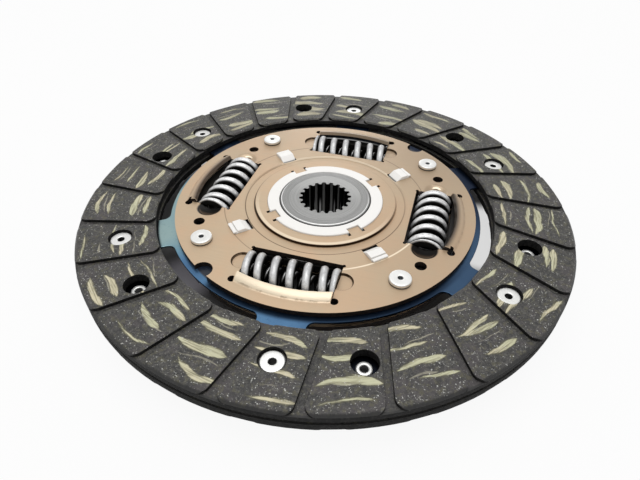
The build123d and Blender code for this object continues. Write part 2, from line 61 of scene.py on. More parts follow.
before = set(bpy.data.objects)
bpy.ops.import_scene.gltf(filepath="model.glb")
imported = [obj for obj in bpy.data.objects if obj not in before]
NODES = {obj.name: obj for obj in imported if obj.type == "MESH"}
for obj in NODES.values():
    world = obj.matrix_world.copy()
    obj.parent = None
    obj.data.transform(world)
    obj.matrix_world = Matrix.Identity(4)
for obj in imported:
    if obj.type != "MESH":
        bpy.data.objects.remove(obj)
CAD_LOW, CAD_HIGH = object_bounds()

MM = 0.001
FRAME_WIDTH = 640  # pixels of the finished picture

# Layout of the disc, in millimetres and degrees.
WINDOW_COUNT = 4
PIN_CIRCLE = 54.6
RIVET_CIRCLE = 83.3
RIVETS_A_SIDE = 6
FRONT_RIVET_ANGLE = 35.0
REAR_RIVET_ANGLE = 54.2
PAD_COUNT = 24
PAD_MIDDLE = 85.0  # radius of the middle of a pad
GROOVE_OFFSET = 19.84  # every groove runs parallel to a radius, this far beside it

# Radii of the front plate's pressed rings and steps, and where the springs' seats lie across.
BOSS_RIM = 28.8
BOSS_FOOT = 29.95
RING_FOOT = 33.9
RING_CREST = 34.3
STEP_FOOT = 42.55
STEP_RIM = 42.75
SEAT_ACROSS = 44.8

# Widths of softened edges that no size below sets, in metres.
CUSHION_ROUND = 0.00012
HUB_ROUND = 0.00014
PLASTIC_ROUND = 0.0002

# Turns from each damper spring's low end to the first top of its coil, and for the inner springs.
FIRST_CRESTS = (0.25, 0.9, 0.65, 0.55)
INNER_CREST = 0.4

# Strands of one pad: number, radius of the middle, then the half sizes longest, widest, shortest
# and thinnest.
BROAD_STRANDS = ((1, 74.5, 8.5, 1.3, 4.5, 0.35), (2, 81.0, 10.0, 1.5, 6.0, 0.5),
                 (3, 87.5, 10.0, 1.5, 6.0, 0.5), (4, 94.5, 9.5, 1.2, 5.0, 0.35))
THIN_STRANDS = ((5, 77.5, 8.0, 0.45, 3.0, 0.12), (6, 91.0, 8.0, 0.5, 3.0, 0.12))

# Colours that several marks share: painted crease shade, painted highlights, and the black of painted
# shade.
CREASE_SHADE = (0.022, 0.010, 0.004)
HIGHLIGHT_CREAM = (0.88, 0.76, 0.58)
SHADE_BLACK = (0.008, 0.007, 0.006)


# ---------------------------------------------------------------- sizes and colours to set

class DiscSizes(bpy.types.PropertyGroup):
    """Sizes of the pieces that are modelled here."""

    spring_turns: bpy.props.FloatProperty(
        name="Spring turns", description="Turns of a damper spring, ends included",
        default=7.05, min=3, max=12)
    spring_wire: bpy.props.FloatProperty(
        name="Spring wire", description="Diameter of the damper spring's wire",
        default=0.0034, unit="LENGTH")
    inner_turns: bpy.props.FloatProperty(
        name="Inner spring turns", description="Turns of an inner spring, ends included",
        default=12.0, min=3, max=20)
    inner_wire: bpy.props.FloatProperty(
        name="Inner spring wire", description="Diameter of the inner spring's wire",
        default=0.0018, unit="LENGTH")
    edge_round: bpy.props.FloatProperty(
        name="Edge rounding", description="Width of the softened edges of sheet and pads",
        default=0.00016, unit="LENGTH")


class DiscColours(bpy.types.PropertyGroup):
    """Base colours of the finishes."""

    lining: bpy.props.FloatVectorProperty(
        name="Friction lining", description="Moulded lining between its pale fibres",
        subtype="COLOR", size=3, default=(0.040, 0.038, 0.035), min=0, max=1)
    wisps: bpy.props.FloatVectorProperty(
        name="Lining fibres", description="Pale fibre strands in the lining",
        subtype="COLOR", size=3, default=(0.46, 0.455, 0.30), min=0, max=1)
    bronze: bpy.props.FloatVectorProperty(
        name="Cover plates", description="Tan passivated sheet steel",
        subtype="COLOR", size=3, default=(0.51, 0.385, 0.255), min=0, max=1)
    zinc: bpy.props.FloatVectorProperty(
        name="Rivets and pins", description="Bright zinc plating",
        subtype="COLOR", size=3, default=(0.80, 0.80, 0.78), min=0, max=1)
    nylon: bpy.props.FloatVectorProperty(
        name="Plastic", description="White moulded plastic",
        subtype="COLOR", size=3, default=(0.74, 0.725, 0.70), min=0, max=1)


# ---------------------------------------------------------------- shader maths

class Value:
    """One output socket of a finish. Arithmetic on it adds Math nodes."""

    def __init__(self, finish, socket):
        self.finish = finish
        self.socket = socket

    def __add__(self, other):
        return self.finish.math("ADD", self, other)

    __radd__ = __add__

    def __sub__(self, other):
        return self.finish.math("SUBTRACT", self, other)

    def __rsub__(self, other):
        return self.finish.math("SUBTRACT", other, self)

    def __mul__(self, other):
        return self.finish.math("MULTIPLY", self, other)

    __rmul__ = __mul__

    def __truediv__(self, other):
        return self.finish.math("DIVIDE", self, other)

    def __rtruediv__(self, other):
        return self.finish.math("DIVIDE", other, self)

    def __pow__(self, other):
        return self.finish.math("POWER", self, other)

    def __abs__(self):
        return self.finish.math("ABSOLUTE", self)

    def beside(self, output):
        """Another output of the same node."""
        return Value(self.finish, self.socket.node.outputs[output])

    def over(self, other):
        """The larger of two values."""
        return self.finish.math("MAXIMUM", self, other)

    def band(self, middle, half_width, soft):
        """1 within half_width of the middle, with soft flanks."""
        return 1 - abs(self - middle).step(half_width, half_width + soft)

    def step(self, low, high):
        """0 below low and 1 above high, with a smooth ramp between."""
        return self.finish.node("ShaderNodeMapRange", {"interpolation_type": "SMOOTHSTEP"},
                                {"Value": self, "From Min": low, "From Max": high})


class Finish:
    """A material being built on one Principled shader."""

    def __init__(self, name, roughness=0.5, metallic=0.0, colour=(0.5, 0.5, 0.5)):
        self.material = bpy.data.materials.new(name)
        self.material.use_nodes = True
        self.tree = self.material.node_tree
        self.shader = self.tree.nodes["Principled BSDF"]
        self.position = None
        self.set("Roughness", roughness)
        self.set("Metallic", metallic)
        self.set("Base Color", colour)

    def node(self, kind, settings=None, inputs=None, output=0):
        """Adds a node: its settings first, then the values or links of its sockets."""
        made = self.tree.nodes.new(kind)
        for name, value in (settings or {}).items():
            if name == "stops":
                ramp = made.color_ramp.elements
                while len(ramp) < len(value):
                    ramp.new(0.5)
                for element, (place, colour) in zip(ramp, value):
                    element.position = place
                    element.color = (*colour, 1)
            else:
                setattr(made, name, value)
        for name, value in (inputs or {}).items():
            self.feed(made.inputs[name], value)
        return Value(self, made.outputs[output])

    def feed(self, socket, value):
        """Links a value to a socket, or sets the socket to a number or colour."""
        if isinstance(value, Value):
            self.tree.links.new(value.socket, socket)
        elif socket.type == "RGBA" and len(value) == 3:
            socket.default_value = (*value, 1)
        else:
            socket.default_value = value

    def set(self, name, value):
        """Feeds a socket of the shader."""
        self.feed(self.shader.inputs[name], value)

    def math(self, operation, *terms):
        """A Math node."""
        return self.node("ShaderNodeMath", {"operation": operation}, dict(enumerate(terms)))

    def place(self):
        """Position on the disc in millimetres, as a vector."""
        if self.position is None:
            metres = self.node("ShaderNodeTexCoord", output="Object")
            self.position = self.node("ShaderNodeVectorMath", {"operation": "SCALE"},
                                      {0: metres, "Scale": 1 / MM})
        return self.position

    def split(self, vector):
        """The three parts of a vector."""
        x = self.node("ShaderNodeSeparateXYZ", inputs={"Vector": vector})
        return x, x.beside("Y"), x.beside("Z")

    def join(self, x, y, z):
        """A vector from its three parts."""
        return self.node("ShaderNodeCombineXYZ", inputs={"X": x, "Y": y, "Z": z})

    def away(self, x, y, centre_x=0.0, centre_y=0.0):
        """Distance in the plane of the disc from a point, or from the hub's axis."""
        dx = x - centre_x
        dy = y - centre_y
        return (dx * dx + dy * dy) ** 0.5

    def polar(self):
        """Cosine, sine, radius and height of a point round the hub, lengths in millimetres."""
        x, y, z = self.split(self.place())
        radius = self.away(x, y)
        return x / radius, y / radius, radius, z

    def chance(self, x, y, z):
        """White noise: three random values for each set of three numbers."""
        return self.split(self.node("ShaderNodeTexWhiteNoise", {"noise_dimensions": "3D"},
                                    {"Vector": self.join(x, y, z)}, output="Color"))

    def noise(self, vector, scale, detail, roughness):
        """Soft noise between 0 and 1, mostly near 0.5."""
        return self.node("ShaderNodeTexNoise", inputs={
            "Vector": vector, "Scale": scale, "Detail": detail, "Roughness": roughness})

    def sway(self, vector, size, scale, detail, roughness):
        """Noise that swings about 0 over a range of the given size."""
        return (self.noise(vector, scale, detail, roughness) - 0.5) * size

    def mix(self, factor, low, high):
        """Colour mix: low where the factor is 0, high where it is 1. The node has sockets for
        several kinds of value, and inputs 6 and 7 and output 2 are those for colours."""
        return self.node("ShaderNodeMix", {"data_type": "RGBA"}, {0: factor, 6: low, 7: high},
                         output=2)

    def stain(self, base, colour, grain, low, high, share=1.0):
        """Lays a colour over the base in blotches, where a noise with the given grain (scale,
        detail and roughness) rises from low to high."""
        return self.mix(self.noise(self.place(), *grain).step(low, high) * share, base, colour)

    def bump(self, height, distance, strength):
        """Relief in millimetres."""
        self.set("Normal", self.node("ShaderNodeBump", inputs={
            "Strength": strength, "Distance": distance * MM, "Height": height}))


def grey(level):
    """A colour without a hue."""
    return (level, level, level)


def shaded(colour, *shares):
    """A colour with its parts multiplied by one share, or by a share each."""
    return tuple(part * share for part, share in zip(colour, shares * (3 // len(shares))))


# ---------------------------------------------------------------- finishes

def pad_frame(f):
    """The number of the pad under a point, and the point's place on that pad in millimetres,
    outwards and sideways from the middle of the pad, and its height. A groove's line lies at the
    angle asin(offset / radius) past its own radius, so the angle less that one runs evenly from
    groove to groove."""
    x, y, z = f.split(f.place())
    radius = f.away(x, y)
    angle = f.math("ARCTAN2", y, x)
    lean = f.math("ARCSINE", GROOVE_OFFSET / radius)
    pitch = 2 * pi / PAD_COUNT
    pad = f.math("FLOOR", (angle - lean) / pitch)
    middle = (pad + 0.5) * pitch + float(np.arcsin(GROOVE_OFFSET / PAD_MIDDLE))
    turn = angle - middle
    return pad, radius * f.math("COSINE", turn), radius * f.math("SINE", turn), z


def friction_lining(colours):
    """Dark moulded lining: mottled binder, pale fibre strands laid round the disc, and scattered white
    specks. Each pad has its own strands: a strand's middle, slant, bend, length and width
    are random for its pad, noise makes it wander, and its half width falls off with the fourth
    power of the distance along it. Towards +Y the strands are wider, and a painted sheen lightens
    the binder round them, with darker patches between. The outer rim band of each pad is painted
    nearly black as shade."""
    f = Finish("friction_lining")
    f.set("Sheen Weight", 0.13)
    f.set("Sheen Roughness", 0.4)
    pad, outward, sideways, height = pad_frame(f)
    place = f.place()
    far = f.split(place)[1].step(10, 95)
    top = abs(height).step(3.9, 4.25)  # 1 on the rubbing faces and 0 down in the grooves
    wander = f.sway(place, 3.4, 0.07, 1, 0.5) + f.sway(place, 1.6, 0.15, 1, 0.5)
    fray = f.sway(f.join(outward * 0.9, sideways * 0.30, pad), 0.65, 1.0, 3, 0.6)

    def strand(number, middle, longest, widest, shortest, thinnest):
        """How deep within a strand a point lies, in millimetres, negative outside it."""
        seed = number + 0.37
        shift_out, shift_sideways, tilt = f.chance(pad, seed, 0.5)
        bend, stretch, swell = f.chance(pad, seed, 7.5)
        out = outward - middle - (shift_out - 0.5) * 5.0
        side = sideways - (shift_sideways - 0.5) * 6.5
        slant = (tilt - 0.5) * 0.34 + 0.06
        along = side + slant * out
        across = out - slant * side + along * along * (bend - 0.45) * 0.050 + wander + fray
        share = along / (shortest + stretch * (longest - shortest))
        full_width = thinnest + swell * (widest - thinnest)
        width = full_width * (1 - abs(share) ** 4.0) * (1 + far * 0.6)
        return width * (1 + share.over(-1) * 0.35) - abs(across)

    inside = reduce(Value.over, [strand(*row) for row in BROAD_STRANDS])
    thin = reduce(Value.over, [strand(*row) for row in THIN_STRANDS])
    blotch = f.noise(place, 0.15, 3, 0.6)
    grain = f.noise(place, 1.7, 4, 0.8)
    mottle = f.noise(place, 0.8, 4, 0.8)
    streak = f.noise(f.join(outward * 2.1, sideways * 0.13, pad * 3.1), 1.0, 3, 0.7)
    broad = (inside + (streak - 0.5) * 0.8 + (grain - 0.5) * 0.5).step(-0.12, 0.32)
    faint = thin.step(-0.04, 0.25)

    plum, olive = (0.051, 0.042, 0.046), (0.072, 0.066, 0.036)
    ash, straw = (0.16, 0.155, 0.13), (0.62, 0.49, 0.36)
    base = f.mix(mottle.step(0.38, 0.62), grey(0.008), colours.lining)
    base = f.mix(grain.step(0.50, 0.70) * 0.8, base, (0.11, 0.104, 0.092))
    base = f.mix(blotch.step(0.48, 0.62) * 0.45, base, plum)
    base = f.stain(base, olive, (0.45, 3, 0.7), 0.52, 0.62, 0.6)
    base = f.stain(base, ash, (0.62, 4, 0.8), 0.57, 0.66, 0.45)
    base = f.stain(base, grey(0.006), (0.33, 4, 0.8), 0.56, 0.66, 0.6)
    pale = f.stain(colours.wisps, straw, (0.045, 1, 0.5), 0.45, 0.60, 0.35)
    pale = f.mix(streak.step(0.32, 0.62), (0.20, 0.185, 0.115), pale)
    # painted sheen: towards +Y the binder round the strands is lightened
    painted_sheen = (inside + (streak - 0.5) * 2.4).step(-1.1, 1.1) * far
    base = f.mix(painted_sheen * 0.6, base, (0.25, 0.245, 0.195))
    # with the painted sheen, darker patches lie towards +Y between the streaks
    base = f.mix(far * (1 - streak.step(0.34, 0.50)) * 0.5, base, (0.030, 0.032, 0.026))
    halo = (inside + (mottle - 0.5) * 0.8).step(-0.55, 0.05)
    base = f.mix(halo * top * 0.5, base, (0.085, 0.078, 0.036))
    base = f.mix(faint * top * streak.step(0.30, 0.55) * 0.7, base, (0.30, 0.28, 0.21))
    base = f.mix(broad * top * (1 - far * 0.35), base, pale)

    def specks(scale, kept, size):
        """White grains: a random share of the cells has a dot of a random size and brightness."""
        colour = f.node("ShaderNodeTexVoronoi", inputs={"Vector": place, "Scale": scale},
                        output="Color")
        pick, spread, shine = f.split(colour)
        dot = 1 - (colour.beside("Distance") / (0.30 + spread)).step(size * 0.5, size)
        return dot * pick.step(1 - kept, 1.03 - kept) * (0.25 + shine * 0.75)

    flakes = f.noise(place, 1.5, 2, 0.7).step(0.655, 0.69) * (0.4 + blotch * 0.9)
    spot = specks(0.95, 0.45, 0.24).over(specks(0.50, 0.35, 0.15)).over(flakes)
    base = f.mix(spot * (0.25 + top * 0.75), base, (0.48, 0.48, 0.45))
    # painted shade: the outer rim band of each pad is made nearly black
    rim_start, rim_end = 98.9, 99.5
    rim = (outward * outward + sideways * sideways).step(rim_start ** 2, rim_end ** 2)
    f.set("Base Color", f.mix(rim * 0.85, base, grey(0.006)))
    f.set("Roughness", 0.42 + grain * 0.34)
    f.bump(grain + broad * 0.3, 0.12, 0.6)
    return f.material


def lining_edge():
    """Sides of the pads, wells and rims, where the lining is cut: matt, and painted nearly black as
    shade.
    """
    f = Finish("lining_edge", roughness=0.75)
    f.set("Specular IOR Level", 0.12)
    f.set("Base Color", f.stain(grey(0.007), (0.022, 0.021, 0.020), (0.9, 3, 0.7), 0.40, 0.75))
    return f.material


def tan_sheet(name, colours):
    """Tan passivated sheet: faint rolling streaks and soft blotches under a thin clear film."""
    bronze = colours.bronze
    f = Finish(name, metallic=0.5)
    f.set("Coat Weight", 0.30)
    f.set("Coat Roughness", 0.25)
    x, y, z = f.split(f.place())
    rolled = f.noise(f.join(x * 0.06, y * 1.1, z), 1.0, 3, 0.6)
    base = f.stain(bronze, shaded(bronze, 1.06, 0.97, 0.93), (0.05, 3, 0.6), 0.35, 0.68)
    base = f.mix(rolled.step(0.40, 0.75) * 0.20, base, shaded(bronze, 0.86))
    base = f.stain(base, (0.45, 0.37, 0.27), (0.35, 3, 0.65), 0.45, 0.75, 0.2)
    f.set("Roughness", 0.36 + rolled * 0.14)
    f.bump(f.noise(f.place(), 2.2, 3, 0.6), 0.012, 0.4)
    return f, base


def ring_marks(f, base):
    """The front plate's pressed rings: painted crease shade at their feet, strongest towards -Y, and
    painted highlights along a part of the round of their crests and rims. Returns the colour and
    the crease shade."""
    cosine, sine, radius, height = f.polar()
    towards = 1 - sine.step(-0.60, 0.45)
    right = cosine.step(0.15, 0.55) * towards
    # painted highlights: on the boss's rim towards -Y, the ring's crest towards +Y, and the step's rim
    # towards +X and -Y
    base = f.mix(radius.band(BOSS_RIM, 0.45, 0.5) * (1 - sine.step(-0.9, 0.0)) * 0.55, base, HIGHLIGHT_CREAM)
    # painted crease shade at the feet of the boss, the ring and the step
    crease_shade = radius.band(BOSS_FOOT, 0.10 + towards * 0.16, 0.2) * (0.15 + towards * 0.85)
    crease_shade = crease_shade.over(radius.band(RING_FOOT, 0.12, 0.18) * (0.2 + towards * 0.5))
    base = f.mix(crease_shade, base, CREASE_SHADE)
    base = f.mix(radius.band(RING_CREST, 0.22, 0.25) * sine.step(0.45, 0.80) * 0.6, base, HIGHLIGHT_CREAM)
    base = f.mix(radius.band(STEP_FOOT, 0.10, 0.18) * (1 - right) * 0.45, base, CREASE_SHADE)
    base = f.mix(radius.band(STEP_RIM, 0.22, 0.25) * right * 0.8, base, HIGHLIGHT_CREAM)
    return base, crease_shade


def window_frame(x, y):
    """A point's place in the nearest spring window, across and along from the hub's axis, and 1
    for a window on the X axis or 0 for one on the Y axis."""
    on_x = (abs(x) - abs(y)).step(-1, 1)
    return abs(x) * on_x + abs(y) * (1 - on_x), abs(y) * on_x + abs(x) * (1 - on_x), on_x


def lip_marks(f, base, along, on_x):
    """Rolled lips along the outer sides of the spring windows: painted shade darkens them towards their
    edges, but the lip of the window at -Y has a painted highlight, and a broken line of painted
    crease shade runs where a lip rises from the plate."""
    x, y, z = f.split(f.place())
    radius = f.away(x, y)
    lip = radius.step(53, 54) * (1 - radius.step(57.6, 58.9)) * (1 - along.step(17.3, 17.8))
    depth = 1 - radius.step(54.6, 57.2)
    shade = on_x.over(y.step(0, 5))
    # painted shade on the lips, darker towards +X and fainter towards +Y
    lip_shade = f.mix(x.step(-10, 10), (0.050, 0.030, 0.018), (0.010, 0.006, 0.004))
    base = f.mix(lip * depth * shade * (0.92 - y.step(30, 50) * 0.37), base, lip_shade)
    # painted highlight on the lip of the window at -Y
    base = f.mix(lip * (1 - shade) * 0.6, base, (0.80, 0.72, 0.56))
    # noise that breaks the painted crease shade where each lip rises
    painted_light_pattern = f.noise(f.place(), 0.28, 3, 0.7)
    foot_shade = (radius + (painted_light_pattern - 0.5) * 1.6).band(58.3, 0.16, 0.25) * (1 - along.step(16.5, 18.0))
    return f.mix(foot_shade * (1 - shade * 0.6) * painted_light_pattern.step(0.42, 0.60) * 0.45, base, (0.13, 0.075, 0.035))


def seat_marks(f, base, bronze, across, along, on_x):
    """Spring seats, all in painted light. On the windows on the X axis the seats towards -Y are bowls
    painted black as shade, with a painted highlight round their rim, and the others are painted
    darker as shade over their highlight, with a small painted highlight and a painted crease shade
    in a notch. On the windows on the Y axis a line of painted crease shade is drawn round each
    seat. Returns the colour, the black seats and the line."""
    y = f.split(f.place())[1]
    seat = f.away(across, along, SEAT_ACROSS, 19.5)
    # painted shade: the seats towards -Y on the windows on the X axis
    seat_shade = (1 - seat.step(4.7, 5.5)) * on_x * (1 - y.step(-10, -5))
    # painted highlight: a ring round those bowls
    ring = (seat + (along - 19.5) * 0.16).band(4.25, 0.10, 0.22) * along.step(20.0, 22.0)
    bowl_shade = f.mix(along.step(20.6, 22.6) * (1 - seat.step(3.9, 4.3)), (0.003, 0.002, 0.0015),
                 (0.055, 0.036, 0.022))
    base = f.mix(seat_shade, base, f.mix(ring * 0.6, bowl_shade, (0.16, 0.11, 0.075)))
    # painted shade over the seats towards +Y, against their highlight
    far_seat = (1 - seat.step(4.0, 6.0)) * on_x * y.step(5, 10)
    base = f.mix(far_seat * 0.4, base, shaded(bronze, 0.6))
    # painted highlight and painted crease shade in the notch of those seats
    notch = f.away(across, along, SEAT_ACROSS, 21.4)
    base = f.mix(notch.band(2.0, 0.30, 0.2) * far_seat * along.step(22.4, 22.9) * 0.8, base, HIGHLIGHT_CREAM)
    base = f.mix(notch.band(1.3, 0.2, 0.2) * far_seat * along.step(21.8, 22.3) * 0.85, base, CREASE_SHADE)
    # painted crease shade round the seats on the windows on the Y axis
    line = f.away(across, along, SEAT_ACROSS, 19.0).band(4.0, 0.16, 0.18) * (1 - on_x)
    return f.mix(line * 0.9, base, CREASE_SHADE), seat_shade, line


def bronze_plate(colours):
    """The front plate's tan sheet, with painted shade that darkens it towards +X and +Y, and the
    painted light of its pressing and its springs. Along the painted crease shade the sheet is
    fully metallic without the clear film, and on the black seats it is neither metallic nor coated."""
    f, base = tan_sheet("bronze_plate", colours)
    x, y, z = f.split(f.place())
    # painted shade: darker towards +X and +Y
    side_shade = x.step(-5, 50) * 0.42 + y.step(0, 55) * 0.5
    base = f.mix(side_shade, base, shaded(colours.bronze, 0.66))
    base, crease_shade = ring_marks(f, base)
    across, along, on_x = window_frame(x, y)
    base = lip_marks(f, base, along, on_x)
    base, seat_shade, line = seat_marks(f, base, colours.bronze, across, along, on_x)
    crease_shade = crease_shade.over(line)
    f.set("Base Color", base)
    f.set("Metallic", 0.5 + (crease_shade - seat_shade) * 0.5)
    f.set("Coat Weight", 0.30 - seat_shade.over(crease_shade) * 0.30)
    return f.material


def sheet_edge_shade():
    """Cut edge of the sheet, painted dark brown, nearly black, as shade."""
    f = Finish("sheet_edge_shade", roughness=0.6)
    f.set("Specular IOR Level", 0.25)
    f.set("Base Color", f.stain((0.006, 0.004, 0.003), (0.022, 0.014, 0.010), (0.6, 3, 0.6), 0.35, 0.75))
    return f.material


def deep_plate(colours):
    """The rear plate: tan sheet outside, and painted nearly black as shade on the side towards the
    springs.
    """
    f, base = tan_sheet("deep_plate", colours)
    height = f.split(f.place())[2]
    # painted shade on the face towards the springs
    f.set("Base Color", f.mix(height.step(-3.9, -3.5), base, (0.014, 0.010, 0.008)))
    return f.material


def blued_steel():
    """Tempered spring steel: deep blue, with teal where the heat ran further. Painted shade darkens it
    towards +X and makes it nearly black towards +Y and under the pads, and a painted shadow falls
    beside the cover plate's rim towards -Y. Between the cover plates it is painted nearly black
    and is not metallic, so that it hardly shines."""
    f = Finish("blued_steel")
    cosine, sine, radius, height = f.polar()
    hot_side = radians(203)
    navy = (0.008, 0.014, 0.035)
    side = cosine * cos(hot_side) + sine * sin(hot_side)
    heat = f.noise(f.place(), 0.045, 2, 0.5) * 0.35 + side.step(0.86, 0.995) * 0.42 + 0.10
    base = f.node("ShaderNodeValToRGB", {"stops": [
        (0.15, (0.065, 0.135, 0.26)), (0.32, (0.11, 0.235, 0.40)), (0.50, (0.18, 0.34, 0.44)),
        (0.70, (0.33, 0.46, 0.46))]}, {"Fac": heat})
    base = f.stain(base, (0.02, 0.045, 0.12), (0.6, 3, 0.7), 0.5, 0.9, 0.3)
    # painted shade towards +X
    base = f.mix(cosine.step(0.05, 0.45) * 0.78, base, (0.036, 0.062, 0.115))
    # painted shade towards +Y
    base = f.mix(sine.step(-0.15, 0.30) * 0.88, base, navy)
    # painted shade under the pads
    base = f.mix(radius.step(68.8, 69.9), base, (0.010, 0.012, 0.018))
    # painted shade between the cover plates
    open_part = radius.step(61.9, 62.9)
    base = f.mix(1 - open_part, base, (0.006, 0.010, 0.020))
    # painted shadow of the cover plate's rim towards -Y
    under = (1 - radius.step(64.2, 66.2)) * (1 - sine.step(-0.75, -0.2)) * cosine.step(-0.46, -0.40)
    f.set("Base Color", f.mix(under * 0.9, base, (0.008, 0.014, 0.028)))
    f.set("Metallic", open_part)
    f.set("Roughness", 0.22 + f.noise(f.place(), 0.5, 2, 0.6) * 0.18)
    return f.material


def bright_zinc(colours, name="bright_zinc"):
    """Bright zinc plate with a fine grain."""
    f = Finish(name, roughness=0.38, metallic=0.75)
    base = f.stain(colours.zinc, (0.66, 0.66, 0.65), (0.8, 3, 0.6), 0.45, 0.85, 0.2)
    f.bump(f.noise(f.place(), 3.0, 2, 0.6), 0.02, 0.5)
    f.set("Base Color", base)
    return f, base


def pin_zinc(colours):
    """Zinc plate of the stop pins, with painted shade in the dimples and where the heads meet the plate.
    """
    f, base = bright_zinc(colours, "pin_zinc")
    x, y, z = f.split(f.place())
    corner = PIN_CIRCLE * cos(pi / 4)
    # painted shade in the dimples and where the heads meet the plate
    dimple = 1 - f.away(abs(x), abs(y), corner, corner).step(0.85, 1.1)
    foot_shade = abs(z).band(3.15, 0.28, 0.12)
    f.set("Base Color", f.mix(dimple.over(foot_shade), base, (0.018, 0.022, 0.026)))
    return f.material


def bore_black():
    """Shadowed bore of a tubular rivet."""
    return Finish("bore_black", roughness=0.7, colour=grey(0.006)).material


def turned_steel():
    """Grey hub steel with fine turning rings on its faces and a lighter zone by the spline, lighter
    still towards +Y as painted sheen. A painted highlight and a painted shadow line its rim towards
    -Y, and the bore is painted black as shade, with painted reflections in streaks on its lands."""
    f = Finish("turned_steel")
    cosine, sine, radius, height = f.polar()
    rings = f.noise(f.join(radius * 4.2, cosine * 0.6, sine * 0.6), 1.0, 2, 0.7)
    grain = f.noise(f.place(), 2.4, 3, 0.8)
    base = f.mix(rings.step(0.3, 0.7), (0.225, 0.225, 0.22), (0.325, 0.325, 0.32))
    base = f.stain(base, (0.28, 0.28, 0.275), (0.30, 3, 0.6), 0.4, 0.75, 0.5)
    base = f.mix(grain.step(0.5, 0.75) * 0.4, base, (0.45, 0.45, 0.44))
    far = sine.step(-0.2, 0.6)
    # painted sheen: the zone by the spline is lighter towards +Y
    base = f.mix((1 - radius.step(15.2, 15.5)) * (0.20 + far * 0.35), base, (0.46, 0.46, 0.45))
    # painted highlight and painted shadow at the rim towards -Y
    base = f.mix(radius.band(18.5, 0.12, 0.14) * (1 - far), base, (0.80, 0.80, 0.79))
    base = f.mix(radius.step(18.95, 19.1) * (1 - far), base, grey(0.05))
    # painted shade: the bore is black, with painted reflections in streaks on its lands
    bore = (1 - radius.step(11.0, 11.25)) * (1 - height.step(3.9, 4.25))
    streak = f.noise(f.join(cosine * 9, sine * 9, 0.5), 1.0, 0, 0.5).step(0.45, 0.60)
    painted_light_pattern = (1 - radius.step(9.8, 10.0)) * (1 - height.step(-8.0, -2.5)) * streak
    f.set("Base Color", f.mix(bore, base, f.mix(painted_light_pattern, grey(0.001), grey(0.36))))
    f.set("Metallic", 0.9 + bore * 0.1)
    f.set("Roughness", 0.30 + rings * 0.2 + bore * 0.35)
    f.bump(rings + grain * 0.6, 0.04, 0.6)
    return f.material


def dark_steel():
    """Phosphated steel, painted nearly black, darker than the steel's own colour, as the shade between
    the cover plates.
    """
    f = Finish("dark_steel", roughness=0.55, metallic=0.4)
    f.set("Base Color", f.mix(f.noise(f.place(), 0.3, 3, 0.6), SHADE_BLACK, (0.018, 0.016, 0.014)))
    return f.material


def spring_wire(name, bright, low, high):
    """Spring wire with a painted highlight along its outside, and painted shade on its flanks, at the
    level of the springs' axes and, in part, on the crowns of the springs on the Y axis. The attribute
    "outside" is 1 on the side of the wire that faces away from the coil's axis and -1 within, and
    the painted highlight starts between its values low and high."""
    axis_level = -1.75
    f = Finish(name, roughness=0.44, metallic=0.6)
    x, y, z = f.split(f.place())
    outside = f.node("ShaderNodeAttribute", {"attribute_name": "outside"}, output="Fac")
    shade = f.noise(f.place(), 0.75, 3, 0.7)
    painted_highlight = f.mix(shade.step(0.35, 0.70), grey(bright), grey(bright * 0.66))
    # painted highlight on the outside of the wire, painted shade on its flanks
    painted_light_pattern = (outside + (shade - 0.5) * 0.25).step(low, high)
    # painted shade on the crowns of the springs on the Y axis
    crown = z.step(2.0, 5.8) * (abs(y) - abs(x)).step(-1, 1)
    painted_highlight = f.mix(crown * 0.55, painted_highlight, grey(bright * 0.45))
    base = f.mix(painted_light_pattern, SHADE_BLACK, painted_highlight)
    # painted shade near the level of the springs' axes
    f.set("Base Color", f.mix(abs(z - axis_level).step(0, 4.25), SHADE_BLACK, base))
    f.bump(f.noise(f.place(), 3.2, 3, 0.7), 0.04, 0.6)
    return f.material


def white_nylon(colours):
    """White moulded plastic, very slightly uneven."""
    f = Finish("white_nylon", roughness=0.42)
    base = f.stain(colours.nylon, (0.70, 0.70, 0.66), (0.25, 3, 0.6), 0.45, 0.8, 0.3)
    f.set("Base Color", base)
    f.bump(f.noise(f.place(), 1.2, 2, 0.5), 0.03, 0.4)
    return f.material


def dark_plastic():
    """Charcoal friction plastic with a fine grain."""
    f = Finish("dark_plastic", roughness=0.6)
    f.set("Base Color", f.mix(f.noise(f.place(), 1.0, 3, 0.6), grey(0.02), grey(0.05)))
    return f.material


def floor_paper():
    """Matt white paper that glows by its own emission round the disc, so that hardly a shadow shows on
    it. Under the disc it is painted dark as a painted shadow, with glowing patches as painted pools
    of light under the bore and at the wide gap towards +X, and a faint one under the disc towards -X
    and -Y."""
    f = Finish("floor_paper", roughness=0.95)
    f.set("Specular IOR Level", 0.0)
    x, y, z = f.split(f.place())
    radius = f.away(x, y)
    # painted pools of light: glowing outside the disc, under the bore and at the gap towards +X
    glow = radius.step(82, 92).over((1 - radius.step(9.0, 10.5)) * 0.9)
    glow = glow.over((1 - f.away(x * 0.5, y, 35.0, 18.0).step(18.0, 27.0)) * x.step(60.0, 64.0) * 0.72)
    # painted shadow under the disc, where the paper does not glow
    f.set("Base Color", f.mix(glow, (0.16, 0.16, 0.165), grey(0.05)))
    # a faint painted glow under the disc towards -X and -Y
    dim = (1 - f.away(x, y, -46.0, -42.0).step(6.0, 16.0)) * 0.065
    f.set("Emission Color", f.mix(glow, f.mix(dim, grey(0), (0.92, 0.88, 1.0)), grey(0.92)))
    f.set("Emission Strength", 1.0)
    return f.material


# ---------------------------------------------------------------- surfaces

